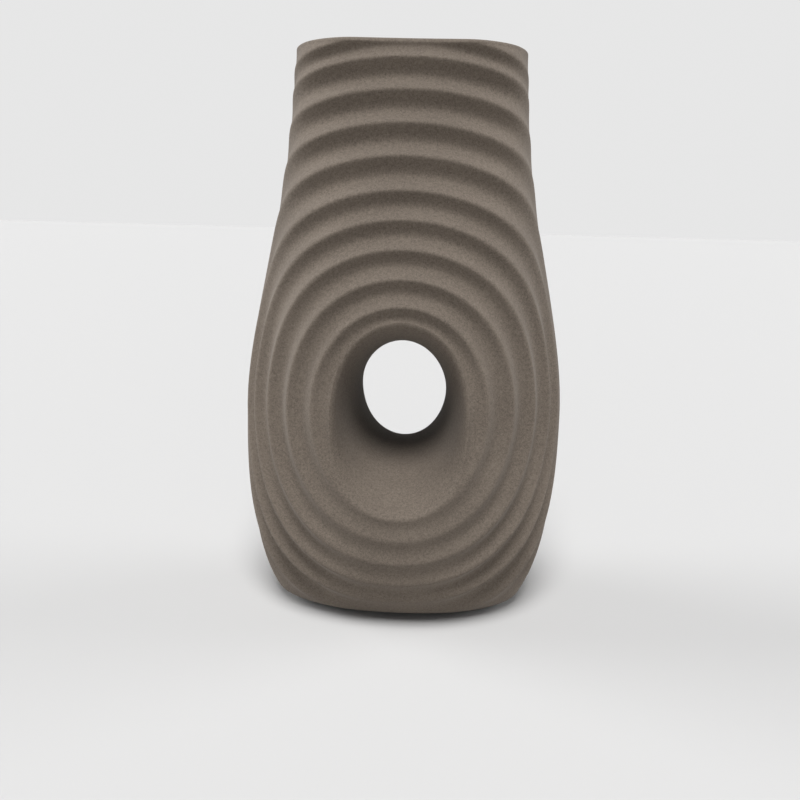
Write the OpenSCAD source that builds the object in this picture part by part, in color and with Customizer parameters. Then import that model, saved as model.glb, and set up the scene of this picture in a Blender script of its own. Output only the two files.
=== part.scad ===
// Tall ceramic vase with an oval tunnel through its belly and ripples that ring the tunnel.
// Lengths are millimetres, +Z is up, and the front faces -Y.
// The origin is the centre of the flat underside of the foot.
// The body is cast as a front and a back half that meet on the plane y = 0.

/* [Body, seen from the front] */
// Height from the table to the top of the rim
vase_h = 260; // [230:1:300]
// Width that the straight neck tends to
neck_w = 100; // [90:1:115]
// Width of the belly at its widest
belly_w = 154.4; // [140:0.2:170]
// Width at the bottom, before the edge tucks in
foot_w = 125.2; // [110:0.2:134]
// Height of the widest place
wide_z = 94; // [80:1:110]
// Height over which the belly narrows into the neck
wide_spread = 98.7; // [85:0.1:110]

/* [Body, seen from the side] */
// Depth that the neck tends to
neck_d = 60; // [52:1:72]
// Depth of the belly at its deepest, before the tunnel dips into it
belly_d = 118; // [104:1:126]
// Depth at the bottom, before the edge tucks in
foot_d = 58; // [52:1:70]
// Height of the deepest place
deep_z = 108; // [92:1:120]
// Height over which the belly thins into the neck
deep_spread = 108; // [95:1:120]

/* [Tunnel] */
// Width of the tunnel at its throat
hole_w = 41.6; // [34:0.2:46]
// Height of the tunnel at its throat
hole_h = 53.6; // [44:0.2:60]
// Height of the tunnel's axis
hole_z = 105.6; // [99:0.2:112]
// Distance from the throat, beside it, over which the wall turns out to the face
flare = 15; // [12:0.5:20]

/* [Ripples] */
// Height of the centre of the oval crests
ring_z = 107; // [101:1:113]
// Distance from crest to crest that the crest shares multiply
ripple_pitch = 12.6; // [11.6:0.1:13.6]
// Depth of the hollow between two crests on the neck
ripple_depth = 3; // [1:0.1:3.4]
// Half the distance between the two focus points of the oval crests
crest_focus = 24; // [18:0.5:28]

/* [Walls] */
// Thickness of the cast wall
wall = 6.2; // [5:0.1:7]
// Height of the rounded lip above the last full section
lip_h = 2.4; // [1.6:0.1:4]
// Thickness of the glaze coat inside
glaze = 0.9; // [0.6:0.1:1.4]
// Distance from the top of the rim down to the upper edge of the glaze
glaze_stop = 8; // [6:0.5:16]

/* [Foot] */
// Height of the foot plate that lifts the body off the table
foot_lift = 1.2; // [0.8:0.1:3]
// Distance that the foot plate stays inside the edge of the body
foot_inset = 2; // [1:0.1:4]
// Height of the rounded bottom edge
edge_h = 6; // [4:0.5:8]
// Distance that the bottom edge tucks in
edge_in = 5.5; // [3:0.5:6.5]
// Width of the ledge that carries the body on the foot plate
ledge_w = 7; // [5:0.5:8]
// Thickness of the ledge and of the floor plug inside it
floor_t = 5.5; // [4:0.5:7]

/* [Hidden] */

// Clearance beside the floor plug and behind the glaze
seat_gap = 0.3;

// Shares that shape the outlines
wide_fall_share = 3.6;
deep_fall_share = 4.3;
section_share = 2.3;
flare_share = 1.5;
// How much of the flare is taken away above the tunnel and added below it
flare_slant_share = 0.2;

// Crests, as shares of ripple_pitch from their centre, and one pitch each beyond the last
ringed_shares = [2.6, 3.6, 4.5, 5.45, 6.4, 7.35, 8.45, 9.5, 10.55, 11.55, 12.45, 13.5];
outer_ring_shares = [for (i = [1:8]) ringed_shares[len(ringed_shares) - 1] + i];
crest_shares = concat(ringed_shares, outer_ring_shares);
// How softly a crest is rounded
crest_soft_share = 0.15;
// Ripple depth beside the tunnel, the ripple coordinate over which it grows to the full depth, and
// the ripple depth straight below the tunnel
beside_share = 0.45;
beside_grow_share = 4;
below_share = 0.35;
// Slants of the line from the crests' centre, as sines, between which the ripples turn from their
// depth beside the tunnel to their depth above it, and from below it to beside it
above_shares = [-0.2, 0.7];
below_shares = [-1, -0.4];
// Share of the half section, next to the side seam, over which the crests level out
seam_share = 0.08;
// Share next to the seam over which the ripples fade, and the share of their depth left at it
seam_fade_share = 0.25;
seam_left_share = 0.08;
// Heights over which the ripples fade above the foot and turn level below the rim
foot_fade = 2.5 * edge_h;
rim_fade = 4 * lip_h;

// Heights that divide the body
body_z = foot_lift;
floor_z = body_z + floor_t;
section_top_z = vase_h - lip_h;
join_z = 0.4 * (hole_z + hole_h / 2) + 0.6 * section_top_z;

// Mesh counts: columns over the neck, down each side and along the foot, then rows
neck_cols = 24;
side_cols = 18;
foot_cols = 16;
ring_cols = neck_cols + 2 * side_cols + foot_cols;
skin_ring_rows = 38;
skin_neck_rows = 20;
wall_ring_rows = 8;
wall_neck_rows = 4;
lip_rows = 6;
arc_steps = 8;
foot_sides = 96;
// How close the first column up the side seam is to the foot, as a share of the others' spacing
corner_share = 0.25;
// How quickly the rows open out from the throat
throat_share = 0.08;

// Steps for slopes: a share of the half section, and a height
slope_share = 0.002;
slope_step = 0.05 * lip_h;

// Smooth step from 0 to 1, and the same between two values
function soft(v) = let (k = min(1, max(0, v))) k * k * (3 - 2 * k);
function between(v, ends) = soft((v - ends[0]) / (ends[1] - ends[0]));

// Half an outline's size at height z: a bell above its middle height and a rounded fall below
function swell(z, neck, belly, foot, middle, spread, fall) =
    z > middle
        ? (neck + (belly - neck) * exp(-pow((z - middle) / spread, 2))) / 2
        : (foot + (belly - foot) * (1 - pow((middle - z) / middle, fall))) / 2;

// How far the bottom edge tucks in at height z, as a quarter of an ellipse
function tuck(z) =
    let (k = min(1, max(0, 1 - (z - body_z) / edge_h)))
    edge_in * (1 - sqrt(1 - k * k));

// Half width and half depth of the body at height z, a distance inset below its surface
function half_w(z, inset) =
    swell(z, neck_w, belly_w, foot_w, wide_z, wide_spread, wide_fall_share) - tuck(z) - inset;
function half_d(z, inset) =
    swell(z, neck_d, belly_d, foot_d, deep_z, deep_spread, deep_fall_share) - tuck(z) - inset;

// Share of the half depth that a section has at the sine s of its angle
function section_depth(s) = sqrt(max(0, 1 - pow(abs(s), section_share)));

// Share of the depth that is left beside the tunnel: 0 at the throat and 1 past the flare
function flare_depth(x, z, inset) =
    let (
        rise = z - hole_z,
        ovals = norm([x / (hole_w / 2 + inset), rise / (hole_h / 2 + inset)]),
        from_axis = norm([x, rise]),
        width = flare * (1 - flare_slant_share * rise / from_axis) - inset,
        k = ovals > 1 ? min(1, from_axis * (1 - 1 / ovals) / width) : 0
    )
    sqrt(max(0, 1 - pow(1 - k, flare_share)));

// Point of the smooth body at height z: u is -1 at the left seam, 0 in front, 1 at the right seam
function body_point(u, z, inset) =
    let (
        s = sin(90 * u),
        x = half_w(z, inset) * s,
        side = abs(u) > 1 ? 1 : -1
    )
    [x, side * half_d(z, inset) * section_depth(s) * flare_depth(x, z, inset), z];

// Length along the section from the front to u, evened out next to the side seam
function girth(u, z) =
    let (
        excess = max(0, abs(u) - 1 + seam_share) / seam_share,
        eased = abs(u) - seam_share * excess * excess / 2,
        w = half_w(z, 0),
        d = half_d(z, 0),
        sines = [for (i = [0:arc_steps]) sin(90 * eased * i / arc_steps)],
        points = [for (s = sines) [w * s, d * section_depth(s)]],
        chords = [for (i = [1:arc_steps]) norm(points[i] - points[i - 1])]
    )
    chords * [for (c = chords) 1];

// Ripple coordinate: the mean distance to two focus points above and below the crests' centre,
// on the unrolled body, in ripple pitches. Each crest lies at one value of it.
function ring_share(u, z) =
    let (
        across = girth(u, z),
        rise = z - ring_z
    )
    (norm([across, rise - crest_focus]) + norm([across, rise + crest_focus])) / 2 / ripple_pitch;

// Number of the last crest at or before ripple coordinate r
function crest_before(r) =
    let (i = len([for (c = crest_shares) if (c <= r) 1]) - 1)
    max(0, min(len(crest_shares) - 2, i));

// Hollow at ripple coordinate r: a half sine between neighbouring crests, softened at both
function hollow(r) =
    let (
        low = crest_shares[crest_before(r)],
        high = crest_shares[crest_before(r) + 1],
        wave = sin(180 * (r - low) / (high - low)),
        top = norm([1, crest_soft_share]) - crest_soft_share
    )
    (high - low) * (norm([wave, crest_soft_share]) - crest_soft_share) / top;

// Depth of the ripples at a place on the body
function ripple(u, z) =
    let (
        r = max(crest_shares[0], ring_share(u, z)),
        slant = (z - ring_z) / (r * ripple_pitch),
        above = between(slant, above_shares),
        beside = beside_share + (1 - beside_share) * soft((r - crest_shares[1]) / beside_grow_share),
        below = below_share + (1 - below_share) * between(slant, below_shares),
        level = (above + (1 - above) * beside) * below,
        side = seam_left_share + (1 - seam_left_share) * soft((1 - abs(u)) / seam_fade_share)
    )
    ripple_depth * hollow(r) * level * side * soft((z - body_z) / foot_fade);

// Outward direction of the smooth body, turned level towards the rim
function outward(u, z) =
    let (
        along = body_point(u + slope_share, z, 0) - body_point(u - slope_share, z, 0),
        up = body_point(u, z + slope_step, 0) - body_point(u, z - slope_step, 0),
        n = cross(along, up),
        level = soft((section_top_z - z) / rim_fade),
        turned = [n.x, n.y, n.z * level]
    )
    turned / norm(turned);

// Point of the rippled skin
function skin_point(u, z) =
    let (depth = ripple(u, z))
    depth > 0 ? body_point(u, z, 0) - depth * outward(u, z) : body_point(u, z, 0);

// Distance from ripple coordinate r to the nearest crest
function crest_offset(r) =
    let (
        low = crest_shares[crest_before(r)] - r,
        high = crest_shares[crest_before(r) + 1] - r
    )
    abs(low) < abs(high) ? low : high;

// Place v on a grid line, moved onto a crest where one lies within half a step
function snapped(v, step, here, ahead, ahead_step) =
    let (move = crest_offset(here) * ahead_step / (ahead - here))
    here > crest_shares[0] && abs(move) < step / 2 ? v + move : v;

// Outer end of ring column j as [u, z]: over the neck from right to left, down the left seam,
// along the foot from left to right, and up the right seam
function ring_end(j, bottom) =
    let (
        left = neck_cols + side_cols,
        right = left + foot_cols,
        gap = (join_z - bottom) / (side_cols - 1 + corner_share),
        steps = j < left ? left - j : j - right,
        seam_z = steps == 0 ? bottom : bottom + gap * (steps - 1 + corner_share)
    )
    j <= neck_cols ? [1 - 2 * j / neck_cols, join_z]
    : j < left ? [-1, seam_z]
    : j < right ? [-1 + 2 * (j - left) / foot_cols, bottom]
    : [1, seam_z];

// Inner end of the same column on the throat, at the outer end's angle
function ring_start(end, bottom, inset) =
    let (
        side = end.y > hole_z ? join_z - hole_z : hole_z - bottom,
        angle = atan2((end.y - hole_z) / side, end.x),
        z = hole_z + (hole_h / 2 + inset) * sin(angle)
    )
    [asin((hole_w / 2 + inset) * cos(angle) / half_w(z, inset)) / 90, z];

// Place on a ring column at t, from 0 on the throat, where the steps open out, to 1
function ring_place(start, end, t) =
    let (
        open = norm([t, throat_share]) - throat_share,
        full = norm([1, throat_share]) - throat_share
    )
    t >= 1 ? end : start + (end - start) * open / full;

// Same place on the skin, moved onto a crest where one is near
function skin_ring_place(start, end, i) =
    let (
        t = i / skin_ring_rows,
        step = 1 / skin_ring_rows,
        here = ring_place(start, end, t),
        ahead = ring_place(start, end, t + step / 4),
        here_share = ring_share(here.x, here.y),
        ahead_share = ring_share(ahead.x, ahead.y)
    )
    i == 0 || i == skin_ring_rows ? here
    : ring_place(start, end, snapped(t, step, here_share, ahead_share, step / 4));

// Height of neck row i on the skin at section position u, moved onto a crest where one is near
function skin_neck_z(u, i) =
    let (
        step = (section_top_z - join_z) / skin_neck_rows,
        z = join_z + step * i
    )
    i == skin_neck_rows ? section_top_z
    : snapped(z, step, ring_share(u, z), ring_share(u, z + step / 4), step / 4);

// Point on the throat, which lies on the plane between the two halves
function throat_point(start, inset) = [half_w(start.y, inset) * sin(90 * start.x), 0, start.y];

// Places [u, z] on the skin: rings outwards from the throat, then rows up the neck
function skin_places() =
    concat(
        [for (i = [0:skin_ring_rows]) for (j = [0:ring_cols - 1])
            let (
                end = ring_end(j, body_z),
                start = ring_start(end, body_z, 0)
            )
            skin_ring_place(start, end, i)],
        [for (i = [1:skin_neck_rows]) for (c = [0:neck_cols])
            let (u = -1 + 2 * c / neck_cols)
            [u, skin_neck_z(u, i)]]
    );

// Points of the rippled skin at those places
function skin_points(places) =
    [for (i = [0:len(places) - 1])
        i < ring_cols ? throat_point(places[i], 0) : skin_point(places[i].x, places[i].y)];

// Points of a smooth surface a distance inset below the skin, from height bottom to height top
function wall_points(inset, bottom, top) =
    concat(
        [for (i = [0:wall_ring_rows]) for (j = [0:ring_cols - 1])
            let (
                end = ring_end(j, bottom),
                start = ring_start(end, bottom, inset),
                place = ring_place(start, end, i / wall_ring_rows)
            )
            i == 0 ? throat_point(start, inset) : body_point(place.x, place.y, inset)],
        [for (i = [1:wall_neck_rows]) for (c = [0:neck_cols])
            body_point(-1 + 2 * c / neck_cols, join_z + (top - join_z) * i / wall_neck_rows, inset)]
    );

// Number of points in a surface with so many ring rows and neck rows
function surface_size(rings, rows) = (rings + 1) * ring_cols + rows * (neck_cols + 1);

// Index of the point in neck row i and column c of a surface, where row 0 is on the last ring
function neck_index(first, rings, i, c) =
    i == 0 ? first + rings * ring_cols + neck_cols - c
    : first + (rings + 1) * ring_cols + (i - 1) * (neck_cols + 1) + c;

// Triangles between two lines of points, where the first line may have several steps for each
// step of the second
function strip(fine, coarse) =
    let (k = (len(fine) - 1) / (len(coarse) - 1))
    concat(
        [for (i = [0:len(fine) - 2]) [fine[i], fine[i + 1], coarse[floor(i / k)]]],
        [for (i = [0:len(coarse) - 2]) [fine[k * (i + 1)], coarse[i + 1], coarse[i]]]
    );

// Triangles between two lines with equal steps. Each quad is cut along the diagonal on which the
// ripple coordinate r changes least, so that the edges run along the ripples.
function skin_strip(outer, inner, r) =
    [for (i = [0:len(outer) - 2])
        let (
            a = outer[i],
            b = outer[i + 1],
            c = inner[i + 1],
            d = inner[i]
        )
        each abs(r[b] - r[d]) < abs(r[a] - r[c]) ? [[a, b, d], [b, c, d]] : [[a, b, c], [a, c, d]]];

function turned_over(faces) = [for (f = faces) [for (i = [len(f) - 1:-1:0]) f[i]]];

// Indices of ring row i, and of its stretch from column a to column b
function ring_line(first, i, a, b) = [for (j = [a:b]) first + i * ring_cols + j % ring_cols];

// Indices of neck row i, and of the left or right edge of the neck from bottom to top
function neck_line(first, rings, i) = [for (c = [0:neck_cols]) neck_index(first, rings, i, c)];
function neck_edge(first, rings, rows, c) = [for (i = [0:rows]) neck_index(first, rings, i, c)];
function backwards(line) = [for (i = [len(line) - 1:-1:0]) line[i]];

// Faces of the skin, seen from outside, for the ripple coordinates r of its points
function skin_faces(r) =
    concat(
        [for (i = [0:skin_ring_rows - 1])
            each skin_strip(ring_line(0, i, 0, ring_cols), ring_line(0, i + 1, 0, ring_cols), r)],
        [for (i = [0:skin_neck_rows - 1])
            each skin_strip(
                neck_line(0, skin_ring_rows, i + 1),
                neck_line(0, skin_ring_rows, i),
                r
            )]
    );

// Faces of a smooth surface, seen from outside
function surface_faces(first, rings, rows) =
    concat(
        [for (i = [0:rings - 1])
            each strip(ring_line(first, i, 0, ring_cols), ring_line(first, i + 1, 0, ring_cols))],
        [for (i = [0:rows - 1])
            each strip(neck_line(first, rings, i + 1), neck_line(first, rings, i))]
    );

// Edge of the ledge's opening at height z
function ledge_points(z) =
    [for (c = [0:foot_cols])
        let (s = sin(90 * (-1 + 2 * c / foot_cols)))
        [(half_w(body_z, 0) - ledge_w) * s, -(half_d(body_z, 0) - ledge_w) * section_depth(s), z]];

// Rows of the rounded lip between the top of the skin and the top of the inner wall
function lip_points() =
    [for (i = [1:lip_rows - 1]) for (c = [0:neck_cols])
        let (
            u = -1 + 2 * c / neck_cols,
            outer = skin_point(u, section_top_z),
            inner = body_point(u, section_top_z, wall),
            angle = 180 * i / lip_rows
        )
        (outer + inner) / 2 + (outer - inner) / 2 * cos(angle) + [0, 0, lip_h * sin(angle)]];

// One cast half of the body, with half of the tunnel, the lip and the ledge around the floor
module cast_half() {
    left = neck_cols + side_cols;
    right = left + foot_cols;
    skin = 0;
    inside = surface_size(skin_ring_rows, skin_neck_rows);
    low_edge = inside + surface_size(wall_ring_rows, wall_neck_rows);
    high_edge = low_edge + foot_cols + 1;
    lip = high_edge + foot_cols + 1;

    skin_foot = ring_line(skin, skin_ring_rows, left, right);
    wall_foot = ring_line(inside, wall_ring_rows, left, right);
    low_line = [for (c = [0:foot_cols]) low_edge + c];
    high_line = [for (c = [0:foot_cols]) high_edge + c];
    skin_top = neck_line(skin, skin_ring_rows, skin_neck_rows);
    wall_top = neck_line(inside, wall_ring_rows, wall_neck_rows);
    lip_line = [for (i = [1:lip_rows - 1]) [for (c = [0:neck_cols]) lip + (i - 1) * (neck_cols + 1) + c]];
    lip_lines = concat([skin_top], lip_line, [wall_top]);

    places = skin_places();
    points = concat(
        skin_points(places),
        wall_points(wall, floor_z, section_top_z),
        ledge_points(body_z),
        ledge_points(floor_z),
        lip_points()
    );
    sides = concat(
        strip(
            ring_line(inside, 0, 0, ring_cols),
            ring_line(skin, 0, 0, ring_cols)
        ),
        strip(
            backwards(neck_edge(skin, skin_ring_rows, skin_neck_rows, 0)),
            backwards(neck_edge(inside, wall_ring_rows, wall_neck_rows, 0))
        ),
        strip(
            ring_line(skin, skin_ring_rows, neck_cols, left),
            ring_line(inside, wall_ring_rows, neck_cols, left)
        ),
        strip(
            ring_line(skin, skin_ring_rows, right, ring_cols),
            ring_line(inside, wall_ring_rows, right, ring_cols)
        ),
        strip(
            neck_edge(skin, skin_ring_rows, skin_neck_rows, neck_cols),
            neck_edge(inside, wall_ring_rows, wall_neck_rows, neck_cols)
        ),
        [
            [skin_foot[0], low_line[0], high_line[0], wall_foot[0]],
            [skin_foot[foot_cols], wall_foot[foot_cols], high_line[foot_cols], low_line[foot_cols]],
            backwards([for (line = lip_lines) line[0]]),
            [for (line = lip_lines) line[neck_cols]]
        ]
    );
    faces = concat(
        skin_faces([for (p = places) ring_share(p.x, p.y)]),
        turned_over(surface_faces(inside, wall_ring_rows, wall_neck_rows)),
        sides,
        strip(skin_foot, low_line),
        strip(low_line, high_line),
        strip(high_line, wall_foot),
        [for (i = [1:lip_rows]) each strip(lip_lines[i], lip_lines[i - 1])]
    );
    polyhedron(points = points, faces = faces, convexity = 8);
}

// Front half of the cast stoneware body
module front_shell() {
    color([0.42, 0.385, 0.35]) cast_half();
}

// Back half, the mirror image of the front
module back_shell() {
    color([0.40, 0.37, 0.335]) mirror([0, 1, 0]) cast_half();
}

// Outline of the foot at the bottom of the body, a distance inset inside the edge
module foot_outline(inset) {
    polygon([for (i = [0:foot_sides - 1])
        let (
            s = sin(360 * i / foot_sides),
            side = cos(360 * i / foot_sides) < 0 ? 1 : -1
        )
        [(half_w(body_z, 0) - inset) * s, side * (half_d(body_z, 0) - inset) * section_depth(s)]]);
}

// Floor of the vase: a foot plate under the ledge, and a plug that fills the ledge's opening
module foot_slab() {
    color([0.52, 0.47, 0.41]) {
        linear_extrude(body_z) foot_outline(foot_inset);
        linear_extrude(floor_z) foot_outline(ledge_w + seat_gap);
    }
}

// Watertight glaze coat on the inside of the walls, round the tunnel and over the floor
module glaze_lining() {
    coat_out = wall + seat_gap;
    coat_in = coat_out + glaze;
    high_z = floor_z + glaze;
    top_z = vase_h - glaze_stop;
    left = neck_cols + side_cols;
    right = left + foot_cols;
    size = surface_size(wall_ring_rows, wall_neck_rows);

    front_points = concat(
        wall_points(coat_out, floor_z, top_z),
        wall_points(coat_in, high_z, top_z)
    );
    back_points = [for (p = front_points) [p.x, -p.y, p.z]];
    front_faces = concat(
        surface_faces(0, wall_ring_rows, wall_neck_rows),
        turned_over(surface_faces(size, wall_ring_rows, wall_neck_rows)),
        strip(
            neck_line(size, wall_ring_rows, wall_neck_rows),
            neck_line(0, wall_ring_rows, wall_neck_rows)
        ),
        [
            ring_line(0, wall_ring_rows, left, right),
            backwards(ring_line(size, wall_ring_rows, left, right))
        ]
    );
    back_faces = turned_over([for (f = front_faces) [for (i = f) i + 2 * size]]);
    color([0.62, 0.60, 0.56])
    polyhedron(
        points = concat(front_points, back_points),
        faces = concat(front_faces, back_faces),
        convexity = 8
    );
}

front_shell();
back_shell();
foot_slab();
glaze_lining();
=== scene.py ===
import bmesh
import bpy
import numpy as np
from mathutils import Matrix


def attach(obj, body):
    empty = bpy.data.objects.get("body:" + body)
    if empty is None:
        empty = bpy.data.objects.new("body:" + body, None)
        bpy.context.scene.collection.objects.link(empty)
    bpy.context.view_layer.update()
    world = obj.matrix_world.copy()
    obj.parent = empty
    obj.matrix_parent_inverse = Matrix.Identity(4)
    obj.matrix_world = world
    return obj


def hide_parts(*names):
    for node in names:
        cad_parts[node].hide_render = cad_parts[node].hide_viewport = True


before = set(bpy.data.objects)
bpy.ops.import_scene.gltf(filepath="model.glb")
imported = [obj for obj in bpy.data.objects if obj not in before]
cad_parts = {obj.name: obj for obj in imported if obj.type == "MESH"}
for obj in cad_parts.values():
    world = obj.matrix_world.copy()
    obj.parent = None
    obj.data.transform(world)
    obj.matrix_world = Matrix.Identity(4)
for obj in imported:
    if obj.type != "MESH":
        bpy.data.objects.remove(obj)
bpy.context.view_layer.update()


# The cast body: two halves of grey-brown stoneware from one mould, joined on the plane through the
# side seams. Each has half the tunnel, half the rim and half the ledge round the floor. The clay is
# bare outside, so its skin is matte and sandy. Lengths are millimetres, and make_piece scales them.
VASE_HEIGHT = 260.0
LIP_HEIGHT = 1.8
TOP_SECTION = VASE_HEIGHT - LIP_HEIGHT
WALL = 6.2
FOOT_LIFT = 1.2
FLOOR_TOP = 6.7
LEDGE_WIDTH = 7.0
EDGE_HEIGHT = 6.0
EDGE_TUCK = 5.5
WIDTHS = {"neck": 98.8, "belly": 152.3, "foot": 120.3, "middle": 94.6, "spread": 94.8, "fall": 2.73}
DEPTHS = {"neck": 60.0, "belly": 118.0, "foot": 58.0, "middle": 108.0, "spread": 108.0, "fall": 4.3}


def ramp(v, start, end):
    """Smooth step, 0 at start and 1 at end: 3k^2 - 2k^3 for the share k of the way between them."""
    k = np.clip((v - start) / (end - start), 0, 1)
    return k * k * (3 - 2 * k)


def mix(low, high, k):
    """low where k is 0 and high where k is 1: low + (high - low) k."""
    return low + (high - low) * k


def outline(z, neck, belly, foot, middle, spread, fall):
    """Half a width or depth. Above its middle height it is a bell,
    neck + (belly - neck) exp(-((z - middle) / spread)^2), and below that a rounded fall,
    foot + (belly - foot) (1 - ((middle - z) / middle)^fall)."""
    above = mix(neck, belly, np.exp(-(((z - middle) / spread) ** 2)))
    below = mix(foot, belly, 1 - (np.maximum(0, middle - z) / middle) ** fall)
    return np.where(z > middle, above, below) / 2


def tuck(z):
    """How far the bottom edge turns in: a quarter of an ellipse, EDGE_TUCK wide and EDGE_HEIGHT tall."""
    k = np.clip(1 - (z - FOOT_LIFT) / EDGE_HEIGHT, 0, 1)
    return EDGE_TUCK * (1 - np.sqrt(1 - k * k))


def half_width(z, inset=0.0):
    """Half the body's width at a height: its outline less the tuck and an inset."""
    return outline(z, **WIDTHS) - tuck(z) - inset


def half_depth(z, inset=0.0):
    """Half the body's depth at a height: its outline less the tuck and an inset."""
    return outline(z, **DEPTHS) - tuck(z) - inset


BELLY_POWERS = (2.3, 2.0)
RIM_POWERS = (3.8, 3.3)
SQUARED_FROM = 120.0


def section(s, z):
    """Share of the half depth where the sine of the section's angle is s: (1 - |s|^p)^(1/q). The
    powers p and q grow from the belly's to the rim's, which squares the corners of the neck."""
    squared = ramp(z, SQUARED_FROM, VASE_HEIGHT)
    p, q = (mix(belly, rim, squared) for belly, rim in zip(BELLY_POWERS, RIM_POWERS))
    return np.maximum(0, 1 - np.abs(s) ** p) ** (1 / q)


TUNNEL_WIDTH = 41.6
TUNNEL_HEIGHT = 53.6
TUNNEL_Z = 105.6
FLARE_BESIDE = 9.0
FLARE_ABOVE = 13.5
FLARE_BELOW = 19.0
FLARE_POWER = 1.5
TINY = 1e-6


def funnel(x, z, inset=0.0):
    """Share of the depth left beside the tunnel: sqrt(1 - (1 - k)^FLARE_POWER). k runs from 0 on the
    oval throat to 1 at the end of its flare, which is short beside the tunnel and long below it."""
    rise = z - TUNNEL_Z
    ovals = np.hypot(x / (TUNNEL_WIDTH / 2 + inset), rise / (TUNNEL_HEIGHT / 2 + inset))
    from_axis = np.maximum(TINY, np.hypot(x, rise))
    upright = np.where(rise > 0, FLARE_ABOVE, FLARE_BELOW)
    flare = mix(FLARE_BESIDE, upright, (rise / from_axis) ** 2) - inset
    k = from_axis * (1 - 1 / np.maximum(TINY, ovals)) / flare
    return np.sqrt(1 - (1 - np.clip(k, 0, 1)) ** FLARE_POWER)


RIPPLE_Z = 107.0
RIPPLE_FOCUS = 24.0
RIPPLE_PITCH = 12.6
CHORDS = 8
SEAM_EASE = 0.08


def girth(u, z):
    """Length along a section from the front to u, as the sum of CHORDS chords. It levels off over the
    last SEAM_EASE of u, so that the ripples meet across the seam without a kink."""
    past = np.maximum(0, np.abs(u) - (1 - SEAM_EASE))
    eased = np.abs(u) - past**2 / (2 * SEAM_EASE)
    s = np.sin(np.pi / 2 * eased * np.linspace(0, 1, CHORDS + 1)[:, None, None])
    points = np.stack([half_width(z) * s, half_depth(z) * section(s, z)])
    return np.linalg.norm(np.diff(points, axis=1), axis=0).sum(axis=0)


def ring(u, z):
    """Ripple coordinate: the mean distance to two points RIPPLE_FOCUS above and below RIPPLE_Z on the
    unrolled body, in pitches. Every crest is an oval on which it is constant."""
    across = girth(u, z)
    rise = z - RIPPLE_Z
    return (np.hypot(across, rise - RIPPLE_FOCUS) + np.hypot(across, rise + RIPPLE_FOCUS)) / 2 / RIPPLE_PITCH


DISH = 0.06
DISH_RINGS = (3.8, 2.5)
DISH_RISE = 30.0


def body(u, z, inset=0.0):
    """The smooth body: x = half_width sin(90 u) and y = -half_depth section funnel, so u runs from -1
    at the left seam over 0 in front to 1 at the right seam, and on behind it. Above the tunnel the
    face is dished a little inside the second crest."""
    s = np.sin(np.pi / 2 * u)
    x = half_width(z, inset) * s
    side = np.where(np.abs(u) > 1, 1, -1)
    dished = 1 - DISH * ramp(ring(u, z), *DISH_RINGS) * ramp(z, RIPPLE_Z, RIPPLE_Z + DISH_RISE)
    y = side * half_depth(z, inset) * section(s, z) * funnel(x, z, inset) * dished
    return np.stack([x, y, z + 0 * x], axis=-1)


# The crests from the tunnel out, on the ripple coordinate. Past those that show, they are a pitch apart.
SHOWN_CRESTS = [2.9, 3.6, 4.5, 5.45, 6.4, 7.35, 8.45, 9.5, 10.55, 11.55, 12.2, 13.3]
CRESTS = np.concatenate([SHOWN_CRESTS, SHOWN_CRESTS[-1] + np.arange(1, 9)])
RIPPLE_DEPTH = 3.9
# Pairs are the start and end of a ramp, over lift (height above RIPPLE_Z as a share of the distance
# from it), over rings of the ripple coordinate, or over turn (|u|, from 0 in front to 1 at a seam).
CREST_SOFTNESS = 0.2
LOWER_SOFTNESS = 0.28
INNER_SOFTENING = 0.3
INNER_RINGS = (CRESTS[0] + 1, CRESTS[0])
INNER_LEVEL = 0.7
ABOVE_LIFTS = (-0.2, 0.7)
BESIDE_LEVEL = 0.65
OUTER_RINGS = (CRESTS[1], CRESTS[1] + 4)
OUTER_GAIN = 0.35
SIDE_TURNS = (0.2, 0.5)
SIDE_GAIN = 0.35
UNDER_LIFTS = (-1.0, -0.4)
UNDER_TURNS = (0.1, 0.4)
UNDER_LEVEL = 0.42
SEAM_TURNS = (1.0, 0.8)
SEAM_LEVEL = 0.1
FOOT_FADE = 4 * EDGE_HEIGHT


def ripple(u, z):
    """Depth of the hollows between the crests. A hollow is a half sine, w = |sin|, whose crests are
    rounded by a softness c: (sqrt(w^2 + c^2) - c) / (sqrt(1 + c^2) - c), times the gap between them
    and a level. The level is full above the tunnel and on the lower sides, less beside the tunnel and
    least under it, and it fades at the side seams and above the foot."""
    r = np.maximum(CRESTS[0], ring(u, z))
    i = np.clip(np.searchsorted(CRESTS, r, side="right") - 1, 0, len(CRESTS) - 2)
    gap = CRESTS[i + 1] - CRESTS[i]
    wave = np.sin(np.pi * (r - CRESTS[i]) / gap)
    lift = (z - RIPPLE_Z) / (r * RIPPLE_PITCH)
    turn = np.abs(u)
    above = ramp(lift, *ABOVE_LIFTS)
    inner = ramp(r, *INNER_RINGS)
    softness = mix(LOWER_SOFTNESS, CREST_SOFTNESS, above) + INNER_SOFTENING * inner
    hollow = gap * (np.hypot(wave, softness) - softness) / (np.hypot(1, softness) - softness)
    beside = BESIDE_LEVEL + OUTER_GAIN * ramp(r, *OUTER_RINGS) + SIDE_GAIN * ramp(turn, *SIDE_TURNS)
    under = mix(UNDER_LEVEL, 1, np.maximum(ramp(lift, *UNDER_LIFTS), ramp(turn, *UNDER_TURNS)))
    level = mix(1, INNER_LEVEL, inner) * mix(beside, 1, above) * under
    seam = mix(SEAM_LEVEL, 1, ramp(turn, *SEAM_TURNS))
    return RIPPLE_DEPTH * hollow * level * seam * ramp(z, FOOT_LIFT, FOOT_LIFT + FOOT_FADE)


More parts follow.
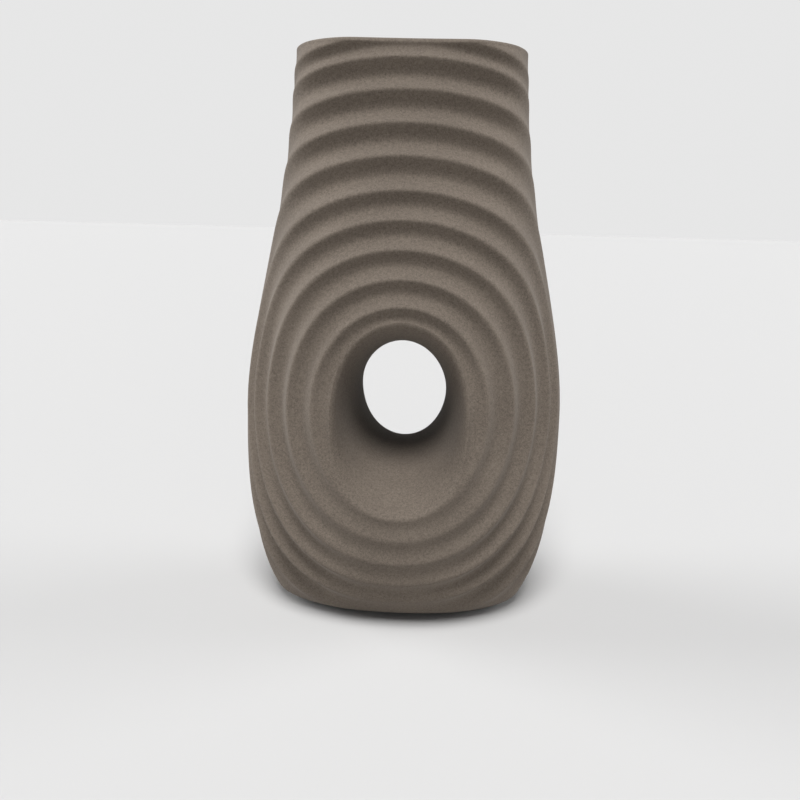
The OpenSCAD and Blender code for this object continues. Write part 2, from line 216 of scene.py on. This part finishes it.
TURN_STEP = 0.002
RISE_STEP = 0.1
LEVEL_BAND = 4 * LIP_HEIGHT
BELLY_SIDEWAYS = 0.6
NECK_SIDEWAYS = 0.25
NECK_FROM = 120.0
NECK_FULL = 180.0


def skin(u, z):
    """The rippled skin: the smooth body less the ripple depth along its normal. The normal is turned
    level towards the rim, and its sideways part is cut, more on the neck, to keep the outline smooth."""
    along = body(u + TURN_STEP, z) - body(u - TURN_STEP, z)
    up = body(u, z + RISE_STEP) - body(u, z - RISE_STEP)
    normal = np.cross(along, up)
    normal[..., 2] *= ramp(z, TOP_SECTION, TOP_SECTION - LEVEL_BAND)
    normal /= np.maximum(TINY, np.linalg.norm(normal, axis=-1, keepdims=True))
    normal[..., 0] *= mix(BELLY_SIDEWAYS, NECK_SIDEWAYS, ramp(z, NECK_FROM, NECK_FULL))
    return body(u, z) - ripple(u, z)[..., None] * normal


JOIN_SHARE = 0.6
JOIN_Z = mix(TUNNEL_Z + TUNNEL_HEIGHT / 2, TOP_SECTION, JOIN_SHARE)
NECK_COLUMNS = 120
SIDE_COLUMNS = 96
FOOT_COLUMNS = 68
LEFT_END = NECK_COLUMNS + SIDE_COLUMNS
RIGHT_END = LEFT_END + FOOT_COLUMNS
THROAT_STEPS = 0.08


def settle(z, bottom):
    """Draws heights close to the bottom edge together, so that its curve gets enough rows:
    bottom + EDGE_HEIGHT (2 q^2 - q^3) for the share q of EDGE_HEIGHT above the bottom."""
    q = np.clip((z - bottom) / EDGE_HEIGHT, 0, 1)
    return np.where(z < bottom + EDGE_HEIGHT, bottom + EDGE_HEIGHT * q * q * (2 - q), z)


def ring_places(rows, bottom, inset):
    """(u, z) on closed rings from the throat out to a frame of the join line, both seams and the foot.
    A column runs straight from the throat to its place on the frame, in steps that open out as
    sqrt(t^2 + THROAT_STEPS^2)."""
    over = np.linspace(1, -1, NECK_COLUMNS + 1)[:-1]
    down = np.linspace(JOIN_Z, bottom, SIDE_COLUMNS + 1)[:-1]
    under = np.linspace(-1, 1, FOOT_COLUMNS + 1)[:-1]
    up = np.linspace(bottom, JOIN_Z, SIDE_COLUMNS + 1)
    end_u = np.concatenate([over, 0 * down - 1, under, 0 * up + 1])
    end_z = np.concatenate([0 * over + JOIN_Z, down, 0 * under + bottom, up])
    reach = np.where(end_z > TUNNEL_Z, JOIN_Z - TUNNEL_Z, TUNNEL_Z - bottom)
    angle = np.arctan2((end_z - TUNNEL_Z) / reach, end_u)
    start_z = TUNNEL_Z + (TUNNEL_HEIGHT / 2 + inset) * np.sin(angle)
    start_x = (TUNNEL_WIDTH / 2 + inset) * np.cos(angle)
    start_u = np.arcsin(start_x / half_width(start_z, inset)) / (np.pi / 2)
    t = np.linspace(0, 1, rows + 1)[:, None]
    opened = (np.hypot(t, THROAT_STEPS) - THROAT_STEPS) / (np.hypot(1, THROAT_STEPS) - THROAT_STEPS)
    return mix(start_u, end_u, opened), settle(mix(start_z, end_z, opened), bottom)


def neck_places(rows, top):
    """(u, z) on rows from the join line up to the top, which is one height or one for each column."""
    u, share = np.meshgrid(np.linspace(-1, 1, NECK_COLUMNS + 1), np.linspace(0, 1, rows + 1))
    return u, mix(JOIN_Z, top, share)


def seamed(rings, neck):
    """The rings and the neck, with their throat and seams put exactly on the joint plane y = 0."""
    rings[0, :, 1] = 0
    rings[-1, NECK_COLUMNS : LEFT_END + 1, 1] = 0
    rings[-1, RIGHT_END:, 1] = 0
    rings[-1, 0, 1] = 0
    neck[:, (0, -1), 1] = 0
    return rings, neck


def bead(outer, inner, height, rows):
    """Half an ellipse over two edges: middle + (outer - middle) cos a, and height sin a upwards."""
    a = np.linspace(0, np.pi, rows + 1)[:, None, None]
    middle = (outer + inner) / 2
    return middle + (outer - middle) * np.cos(a) + height * np.sin(a) * np.array([0, 0, 1])


SKIN_ROWS = 150
SKIN_NECK_ROWS = 78
WALL_ROWS = 30
LIP_ROWS = 18


def cast_half():
    """Grids of the front half: rippled skin, lip, smooth cavity wall, ledge, and the strips that close
    it on the joint plane."""
    neck = neck_places(SKIN_NECK_ROWS, TOP_SECTION)
    outer, outer_neck = seamed(skin(*ring_places(SKIN_ROWS, FOOT_LIFT, 0.0)), skin(*neck))
    inner, inner_neck = seamed(body(*ring_places(WALL_ROWS, FLOOR_TOP, WALL), WALL), body(*neck, WALL))
    lip = bead(outer_neck[-1], inner_neck[-1], LIP_HEIGHT, LIP_ROWS)

    s = np.sin(np.pi / 2 * np.linspace(-1, 1, FOOT_COLUMNS + 1))
    opening_x = (half_width(FOOT_LIFT) - LEDGE_WIDTH) * s
    opening_y = -(half_depth(FOOT_LIFT) - LEDGE_WIDTH) * section(s, 0)
    low, high = (np.stack([opening_x, opening_y, 0 * s + z], axis=-1) for z in (FOOT_LIFT, FLOOR_TOP))
    foot_edge = slice(LEFT_END, RIGHT_END + 1)
    ledge = np.stack([outer[-1, foot_edge], low, high, inner[-1, foot_edge]])

    grids = [outer, outer_neck, inner, inner_neck, lip, ledge, np.stack([inner[0], outer[0]])]
    for seam in (slice(NECK_COLUMNS, LEFT_END + 1), slice(RIGHT_END, None)):
        grids.append(np.stack([outer[-1, seam], inner[-1, seam]]))
    top = LIP_ROWS // 2
    for end in (0, -1):
        grids.append(np.stack([inner_neck[:, end], outer_neck[:, end]]))
        grids.append(np.stack([lip[: top + 1, end], lip[: top - 1 : -1, end]]))
        grids.append(np.stack([ledge[:2, end], ledge[:1:-1, end]]))
    return grids


def mirrored(grids):
    """The same grids on the other side of the joint plane."""
    return [grid * (1, -1, 1) for grid in grids]


METRES = 0.001
WELD = 1e-6
EDGE_ANGLE = np.radians(50)


def make_piece(name, grids, material):
    """A smooth-shaded object, in metres, from grids of points in millimetres. Each grid becomes quads,
    points in the same place are made one, the faces are turned outwards, and only edges sharper than
    EDGE_ANGLE, as on the joint plane, are shaded as edges."""
    faces, first = [], 0
    for grid in grids:
        rows, columns = grid.shape[:2]
        index = np.arange(first, first + rows * columns).reshape(rows, columns)
        quads = np.stack([index[:-1, :-1], index[:-1, 1:], index[1:, 1:], index[1:, :-1]], axis=-1)
        faces.append(quads.reshape(-1, 4))
        first += rows * columns
    points = np.concatenate([grid.reshape(-1, 3) for grid in grids]) * METRES
    mesh = bpy.data.meshes.new(name)
    mesh.from_pydata(points, [], np.concatenate(faces))
    welded = bmesh.new()
    welded.from_mesh(mesh)
    bmesh.ops.remove_doubles(welded, verts=welded.verts, dist=WELD)
    bmesh.ops.recalc_face_normals(welded, faces=welded.faces)
    welded.to_mesh(mesh)
    welded.free()
    mesh.shade_smooth()
    mesh.set_sharp_from_angle(angle=EDGE_ANGLE)
    mesh.materials.append(material)
    piece = bpy.data.objects.new(name, mesh)
    bpy.context.scene.collection.objects.link(piece)
    return piece


class Pattern:
    """One output of a material's nodes. Arithmetic on it adds Math nodes, and node() adds any other."""

    def __init__(self, tree, socket=None):
        self.tree = tree
        self.socket = socket

    def node(self, kind, settings, inputs, output=0):
        """The output of a new node of this kind, from its settings and its inputs' values or patterns."""
        made = self.tree.nodes.new(kind)
        for name, value in settings.items():
            setattr(made, name, value)
        for name, value in inputs.items():
            if isinstance(value, Pattern):
                self.tree.links.new(value.socket, made.inputs[name])
            else:
                made.inputs[name].default_value = value
        return Pattern(self.tree, made.outputs[output])

    def math(self, operation, *values):
        return self.node("ShaderNodeMath", {"operation": operation}, dict(enumerate(values)))

    def __add__(self, other):
        return self.math("ADD", self, other)

    def __sub__(self, other):
        return self.math("SUBTRACT", self, other)

    def __rsub__(self, other):
        return self.math("SUBTRACT", other, self)

    def __mul__(self, other):
        return self.math("MULTIPLY", self, other)

    __radd__ = __add__
    __rmul__ = __mul__

    def band(self, low, high):
        """0 below low, 1 above high and a smooth step between them."""
        stretch = {"Value": self, "From Min": low, "From Max": high}
        return self.node("ShaderNodeMapRange", {"interpolation_type": "SMOOTHSTEP"}, stretch)

    def between(self, low, high):
        """The colour low where this is 0 and high where it is 1. Each is three numbers or a pattern."""
        low, high = ((*colour, 1) if isinstance(colour, tuple) else colour for colour in (low, high))
        return self.node("ShaderNodeMix", {"data_type": "RGBA"}, {0: self, 6: low, 7: high}, output=2)

    def noise(self, size, detail=2.0, roughness=0.5):
        """Noise from 0 to 1 with features about size millimetres wide, where this is a place."""
        inputs = {"Vector": self, "Scale": 1 / (size * METRES), "Detail": detail, "Roughness": roughness}
        return self.node("ShaderNodeTexNoise", {}, inputs)

    def feed(self, shader, socket):
        """Links this to a socket of the shader."""
        self.tree.links.new(self.socket, shader.inputs[socket])


def new_material(name, constants):
    """A material, its shader with these values on its sockets, and the place on the piece to build on."""
    material = bpy.data.materials.new(name)
    material.use_nodes = True
    tree = material.node_tree
    shader = tree.nodes["Principled BSDF"]
    for socket, value in constants.items():
        shader.inputs[socket].default_value = value
    place = Pattern(tree).node("ShaderNodeTexCoord", {}, {}, output="Object")
    return material, shader, place


def finish_material(shader, colour, roughness, height, depth):
    """Feeds the shader a colour, a roughness and a bump whose height goes depth millimetres deep."""
    bump = height.node("ShaderNodeBump", {}, {"Height": height, "Distance": depth * METRES})
    colour.feed(shader, "Base Color")
    roughness.feed(shader, "Roughness")
    bump.feed(shader, "Normal")


# The stoneware: grey-brown clay with fine sand in it, darker in the pores and paler on the grains.
DARK_CLAY = (0.106, 0.088, 0.074)
PALE_CLAY = (0.193, 0.164, 0.138)
GRIT = (0.075, 0.06, 0.05)
stoneware, shader, place = new_material(
    "stoneware", {"Specular IOR Level": 0.25, "Sheen Weight": 0.05, "Sheen Roughness": 0.5}
)
grain = place.noise(size=1.1, detail=3.0, roughness=0.65)
sand = place.noise(size=0.45, detail=1.0)
cloud = place.noise(size=38.0)
tone = (grain * 0.45 + sand * 0.4 + cloud * 0.15).band(0.3, 0.7)
grit_spots = place.noise(size=0.8, detail=0.0).band(0.70, 0.76)
clay_colour = (grit_spots * 0.35).between(tone.between(DARK_CLAY, PALE_CLAY), GRIT)
finish_material(shader, clay_colour, 0.82 + grain * 0.14, grain * 0.5 + sand * 0.5, depth=0.11)

half = cast_half()
front = make_piece("front_body", half, stoneware)
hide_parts("front_shell")
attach(front, "root")

back = make_piece("back_body", mirrored(half), stoneware)
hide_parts("back_shell")
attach(back, "root")


# The floor of the vase: a foot plate that lifts the body off the table, and a plug that fills the
# opening in the ledge. It is the same clay, wiped and sanded smooth before firing, and it is fused
# to both halves in the kiln.
WIPED_DARK = (0.155, 0.128, 0.102)
WIPED_PALE = (0.215, 0.182, 0.148)
OPEN_PORE = (0.07, 0.056, 0.045)
SANDED_ALONG = (0.12, 1, 1)
foot_clay, shader, place = new_material("foot_clay", {"Specular IOR Level": 0.3})
grain = place.noise(size=0.9, detail=3.0, roughness=0.6)
cloud = place.noise(size=16.0, detail=3.0)
rubbed = place.node("ShaderNodeVectorMath", {"operation": "MULTIPLY"}, {0: place, 1: SANDED_ALONG})
scratches = rubbed.noise(size=0.7, roughness=0.7)
tone = (grain * 0.3 + cloud * 0.4 + scratches * 0.3).band(0.3, 0.7)
pores = place.noise(size=1.4, detail=1.0).band(0.68, 0.72)
clay_colour = (pores * 0.6).between(tone.between(WIPED_DARK, WIPED_PALE), OPEN_PORE)
height = grain * 0.4 + scratches * 0.6 - pores * 0.5
finish_material(shader, clay_colour, 0.72 + scratches * 0.2, height, depth=0.05)

PLATE_INSET = 2.0
PLUG_INSET = LEDGE_WIDTH + 0.3
PLATE_ROUND = 0.45
ROUND_STEPS = 6
FLAT_STEPS = 12
FOOT_TURN_STEPS = 360


def foot_rings():
    """Closed rings of the foot from the middle of its underside out, up and in to the middle of its
    top. A ring is the outline of the body's bottom edge, a distance inset inside it, times a share."""
    quarter = np.linspace(0, np.pi / 2, ROUND_STEPS + 1)
    rounding = list(zip(PLATE_ROUND * (1 - np.sin(quarter)), PLATE_ROUND * (1 - np.cos(quarter))))
    shares = np.linspace(0, 1, FLAT_STEPS + 1)
    under = [(share, PLATE_INSET + PLATE_ROUND, 0) for share in shares[:-1]]
    lower = [(1, PLATE_INSET + inward, upward) for inward, upward in rounding]
    upper = [(1, PLATE_INSET + inward, FOOT_LIFT - upward) for inward, upward in rounding[::-1]]
    shoulder = [(1, PLUG_INSET, FOOT_LIFT)]
    plug_edge = [(1, PLUG_INSET + inward, FLOOR_TOP - upward) for inward, upward in rounding[::-1]]
    over = [(share, PLUG_INSET + PLATE_ROUND, FLOOR_TOP) for share in shares[-2::-1]]
    profile = np.array(under + lower + upper + shoulder + plug_edge + over)
    share, inset, z = profile.T[:, :, None]
    angle = np.linspace(0, 2 * np.pi, FOOT_TURN_STEPS + 1)
    s = np.sin(angle)
    side = np.where(np.cos(angle) < 0, 1, -1)
    x = share * (half_width(FOOT_LIFT) - inset) * s
    y = share * side * (half_depth(FOOT_LIFT) - inset) * section(s, 0)
    return np.stack([x, y, z + 0 * x], axis=-1)


foot = make_piece("foot_slab_visual", [foot_rings()], foot_clay)
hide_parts("foot_slab")
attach(foot, "root")


# The glaze lining: a satin off-white liner glaze, poured in, swirled round the tunnel and tipped out
# again. It makes the bare clay body hold water, and its upper edge runs unevenly below the rim.
THIN_GLAZE = (0.43, 0.395, 0.335)
THICK_GLAZE = (0.56, 0.53, 0.47)
IRON_SPECK = (0.16, 0.105, 0.06)
liner, shader, place = new_material(
    "liner_glaze", {"IOR": 1.52, "Coat Roughness": 0.12, "Specular IOR Level": 0.55}
)
cloud = place.noise(size=24.0, detail=3.0)
mottle = place.noise(size=3.2, detail=3.0, roughness=0.6)
specks = place.noise(size=1.2, detail=0.0).band(0.71, 0.75)
pinholes = place.noise(size=2.1, detail=0.0).band(0.74, 0.76)
glaze_colour = (cloud * 0.6 + mottle * 0.4).band(0.3, 0.7).between(THIN_GLAZE, THICK_GLAZE)
glaze_colour = (specks * 0.7).between(glaze_colour, IRON_SPECK)
height = cloud * 0.6 + mottle * 0.4 - pinholes * 0.5
finish_material(shader, glaze_colour, 0.24 + mottle * 0.16, height, depth=0.12)
(0.3 + cloud * 0.3).feed(shader, "Coat Weight")

GLAZE_STOP = 9.1
GLAZE_GAP = 0.3
GLAZE_THICKNESS = 0.9
GLAZE_BEAD = 0.5
GLAZE_ROWS = 46
GLAZE_NECK_ROWS = 32
GLAZE_BEAD_ROWS = 8


def lining_half():
    """Grids of the front half of the coat: its side against the clay and its side towards the water,
    each with half its floor, and the bead on its upper edge. The edge is GLAZE_STOP below the rim and
    runs up and down as three sine waves, which die away at the seams."""
    angle = np.pi * np.linspace(-0.5, 0.5, NECK_COLUMNS + 1)
    wave = 0.5 * np.sin(3 * angle + 0.6) + 0.35 * np.sin(8 * angle + 1.9) + 0.2 * np.sin(17 * angle)
    top = VASE_HEIGHT - GLAZE_STOP + wave * np.cos(angle) ** 2
    grids, edges = [], []
    for coat in (0, GLAZE_THICKNESS):
        inset = WALL + GLAZE_GAP + coat
        rings = body(*ring_places(GLAZE_ROWS, FLOOR_TOP + coat, inset), inset)
        rings, neck = seamed(rings, body(*neck_places(GLAZE_NECK_ROWS, top), inset))
        foot_line = rings[-1, LEFT_END : RIGHT_END + 1]
        grids += [rings, neck, np.stack([foot_line, foot_line * (1, 0, 1)])]
        edges.append(neck[-1])
    return grids + [bead(*edges, GLAZE_BEAD, GLAZE_BEAD_ROWS)]


half = lining_half()
lining = make_piece("glaze_lining_visual", half + mirrored(half), liner)
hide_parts("glaze_lining")
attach(lining, "root")


# The picture: a pale floor and an even pale surround, soft light from above, from the front and from
# both sides, and the photograph's camera. Lengths here are metres.
FLOOR_REACH = 9.0
FLOOR_LIT = (0.5, 0.49, 0.475)
FLOOR_SEEN = (0.569, 0.577, 0.592)
SURROUND_LIT = (0.12, 0.12, 0.12)
SURROUND_SEEN = (0.796, 0.796, 0.796)


def background_rays(pattern):
    """1 for the camera's rays and for those that a glossy or clear surface sends on, which see the
    pale background. 0 for the rays that light the vase."""
    rays = ("Is Camera Ray", "Is Glossy Ray", "Is Transmission Ray")
    camera_ray, glossy_ray, clear_ray = (
        pattern.node("ShaderNodeLightPath", {}, {}, output=ray) for ray in rays
    )
    return camera_ray + glossy_ray + clear_ray


floor_mesh = bpy.data.meshes.new("floor")
corners = [(x * FLOOR_REACH, y * FLOOR_REACH, 0) for x, y in ((-1, -1), (1, -1), (1, 1), (-1, 1))]
floor_mesh.from_pydata(corners, [], [(0, 1, 2, 3)])
floor = bpy.data.objects.new("floor", floor_mesh)
bpy.context.scene.collection.objects.link(floor)
floor_material, shader, place = new_material("floor", {"Roughness": 1.0, "Specular IOR Level": 0.2})
background_rays(place).between(FLOOR_LIT, FLOOR_SEEN).feed(shader, "Base Color")
floor_mesh.materials.append(floor_material)

world = bpy.data.worlds.new("surround")
world.use_nodes = True
bpy.context.scene.world = world
surround = world.node_tree.nodes["Background"]
background_rays(Pattern(world.node_tree)).between(SURROUND_LIT, SURROUND_SEEN).feed(surround, "Color")

for name, turn, height, spread, strength, colour in (
    ("top_light", 0, 62, 25, 3.3, (1, 0.98, 0.95)),
    ("front_light", 0, 5, 60, 0.3, (1, 0.99, 0.97)),
    ("left_light", -100, 18, 35, 2.1, (1, 0.99, 0.97)),
    ("right_light", 104, 18, 35, 1.4, (1, 0.99, 0.97)),
):
    lamp = bpy.data.lights.new(name, "SUN")
    lamp.energy = strength
    lamp.angle = np.radians(spread)
    lamp.color = colour
    lit = bpy.data.objects.new(name, lamp)
    aim = Matrix.Rotation(np.radians(turn), 4, "Z") @ Matrix.Rotation(np.radians(90 - height), 4, "X")
    lit.matrix_world = aim
    bpy.context.scene.collection.objects.link(lit)

CAMERA_PLACE = (0.0117, -0.3824, 0.19)
CAMERA_TURN = 1.99
CAMERA_DOWN = 13.11
CAMERA_ROLL = 1.5
LENS = 36.0
SENSOR = 36.0
camera_data = bpy.data.cameras.new("camera")
camera_data.lens = LENS
camera_data.sensor_width = SENSOR
camera = bpy.data.objects.new("camera", camera_data)
bpy.context.scene.collection.objects.link(camera)
camera.matrix_world = (
    Matrix.Translation(CAMERA_PLACE)
    @ Matrix.Rotation(np.radians(CAMERA_TURN), 4, "Z")
    @ Matrix.Rotation(np.radians(90 - CAMERA_DOWN), 4, "X")
    @ Matrix.Rotation(np.radians(CAMERA_ROLL), 4, "Z")
)
bpy.context.scene.camera = camera
bpy.context.scene.view_settings.view_transform = "Standard"
